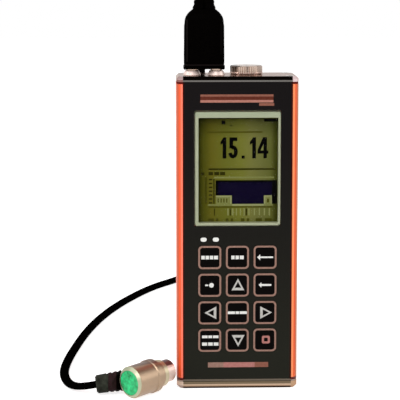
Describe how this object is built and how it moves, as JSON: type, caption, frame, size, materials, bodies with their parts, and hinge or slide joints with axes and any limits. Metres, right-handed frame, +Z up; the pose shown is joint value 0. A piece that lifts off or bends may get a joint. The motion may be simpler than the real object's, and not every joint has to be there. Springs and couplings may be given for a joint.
{
  "type": "ultrasonic thickness gauge",
  "caption": "Handheld ultrasonic thickness gauge with a display, membrane keys and a screw battery cap, joined by a twin lead to its dual-element contact probe.",
  "frame": {"origin": "centre of the gauge's bottom face, on which it stands", "axes": "+X to the right across the front, +Y from the front to the back, +Z up along the gauge"},
  "size_m": [0.1272, 0.3028, 0.2527],
  "materials": {
    "painted_case": "satin orange-red paint",
    "nickel": "polished nickel plate",
    "steel": "bright",
    "black_rubber": "matt",
    "overlay_film": "fine matt film",
    "circuit_film": "matt",
    "key_film": "embossed film with printed outlines",
    "spring_metal": "bright",
    "clear_lens": "clear, slightly glossy",
    "pale_plastic": "satin",
    "lcd": "olive liquid crystal display",
    "white_plastic": "satin",
    "black_plastic": "matt",
    "board": "solder mask",
    "tin": "tinned sheet",
    "cell_can": "printed film",
    "brass_sheet": "bright",
    "wire": "insulation",
    "lead_jacket": "soft black jacket",
    "probe_nickel": "warm turned nickel",
    "green_plastic": "anodised green disc",
    "delay_plastic": "translucent",
    "barrier": "matt cork"
  },
  "bodies": {
    "gauge": {"case_extrusion": "painted_case", "top_end_cap": "nickel", "bottom_end_cap": "nickel", "top_gasket": "black_rubber", "bottom_gasket": "black_rubber", "top_screws": "steel", "bottom_screws": "steel", "front_overlay": "overlay_film", "keypad_circuit": "circuit_film", "key_domes": "spring_metal", "display_window": "clear_lens", "display_bezel": "pale_plastic", "lcd_glass": "lcd", "backlight": "white_plastic", "display_carrier": "black_plastic", "main_board": "board", "board_chips": "black_plastic", "pulser_shield": "tin", "beeper": "black_plastic", "light_pipes": "white_plastic", "keypad_tail": "circuit_film", "battery_tube": "white_plastic", "battery_cells": "cell_can", "battery_spring": "spring_metal", "spring_contact": "brass_sheet", "probe_socket_a": "nickel", "probe_socket_b": "nickel", "socket_nuts": "nickel", "socket_leads": "wire", "lead_back": "lead_jacket", "lead_coil": "lead_jacket", "lead_floor": "lead_jacket", "probe_strain_relief": "black_rubber", "probe_housing": "probe_nickel", "probe_disc": "green_plastic", "probe_delay_lines": "delay_plastic", "probe_barrier": "barrier"},
    "probe_plug": {"plug_shell_a": "nickel", "plug_shell_b": "nickel", "plug_boot": "black_rubber", "plug_strain_relief": "black_rubber", "lead_drop": "lead_jacket"},
    "cap_lift": {"cap_o_ring": "black_rubber", "cap_contact": "brass_sheet"},
    "cap_turn": {"battery_cap": "nickel"},
    "key_menu": {"key_menu": "key_film"},
    "key_clear": {"key_clear": "key_film"},
    "key_measure": {"key_measure": "key_film"},
    "key_accept": {"key_accept": "key_film"},
    "key_up": {"key_up": "key_film"},
    "key_back": {"key_back": "key_film"},
    "key_left": {"key_left": "key_film"},
    "key_enter": {"key_enter": "key_film"},
    "key_right": {"key_right": "key_film"},
    "key_mode": {"key_mode": "key_film"},
    "key_down": {"key_down": "key_film"},
    "key_lamp": {"key_lamp": "key_film"}
  },
  "joints": [
    {"name": "key_menu_press", "type": "slide", "parent": "gauge", "child": "key_menu", "axis": [0, 1, 0], "range_m": [0, 0.00035], "stiffness_N_per_m": 500},
    {"name": "key_clear_press", "type": "slide", "parent": "gauge", "child": "key_clear", "axis": [0, 1, 0], "range_m": [0, 0.00035], "stiffness_N_per_m": 500},
    {"name": "key_measure_press", "type": "slide", "parent": "gauge", "child": "key_measure", "axis": [0, 1, 0], "range_m": [0, 0.00035], "stiffness_N_per_m": 500},
    {"name": "key_accept_press", "type": "slide", "parent": "gauge", "child": "key_accept", "axis": [0, 1, 0], "range_m": [0, 0.00035], "stiffness_N_per_m": 500},
    {"name": "key_up_press", "type": "slide", "parent": "gauge", "child": "key_up", "axis": [0, 1, 0], "range_m": [0, 0.00035], "stiffness_N_per_m": 500},
    {"name": "key_back_press", "type": "slide", "parent": "gauge", "child": "key_back", "axis": [0, 1, 0], "range_m": [0, 0.00035], "stiffness_N_per_m": 500},
    {"name": "key_left_press", "type": "slide", "parent": "gauge", "child": "key_left", "axis": [0, 1, 0], "range_m": [0, 0.00035], "stiffness_N_per_m": 500},
    {"name": "key_enter_press", "type": "slide", "parent": "gauge", "child": "key_enter", "axis": [0, 1, 0], "range_m": [0, 0.00035], "stiffness_N_per_m": 500},
    {"name": "key_right_press", "type": "slide", "parent": "gauge", "child": "key_right", "axis": [0, 1, 0], "range_m": [0, 0.00035], "stiffness_N_per_m": 500},
    {"name": "key_mode_press", "type": "slide", "parent": "gauge", "child": "key_mode", "axis": [0, 1, 0], "range_m": [0, 0.00035], "stiffness_N_per_m": 500},
    {"name": "key_down_press", "type": "slide", "parent": "gauge", "child": "key_down", "axis": [0, 1, 0], "range_m": [0, 0.00035], "stiffness_N_per_m": 500},
    {"name": "key_lamp_press", "type": "slide", "parent": "gauge", "child": "key_lamp", "axis": [0, 1, 0], "range_m": [0, 0.00035], "stiffness_N_per_m": 500},
    {"name": "cap_rise", "type": "slide", "parent": "gauge", "child": "cap_lift", "axis": [0, 0, 1], "range_m": [0, 0.00501]},
    {"name": "cap_unscrew", "type": "hinge", "parent": "cap_lift", "child": "cap_turn", "pos_m": [0.0055, 0.00485, 0.1652], "axis": [0, 0, 1], "range_deg": [0, 1440]},
    {"name": "plug_pull", "type": "slide", "parent": "gauge", "child": "probe_plug", "axis": [0, 0, 1], "range_m": [0, 0.01]}
  ],
  "couplings": [
    {"joint": "cap_rise", "follows": "cap_unscrew", "m_per_rad": 0.00019894}
  ]
}
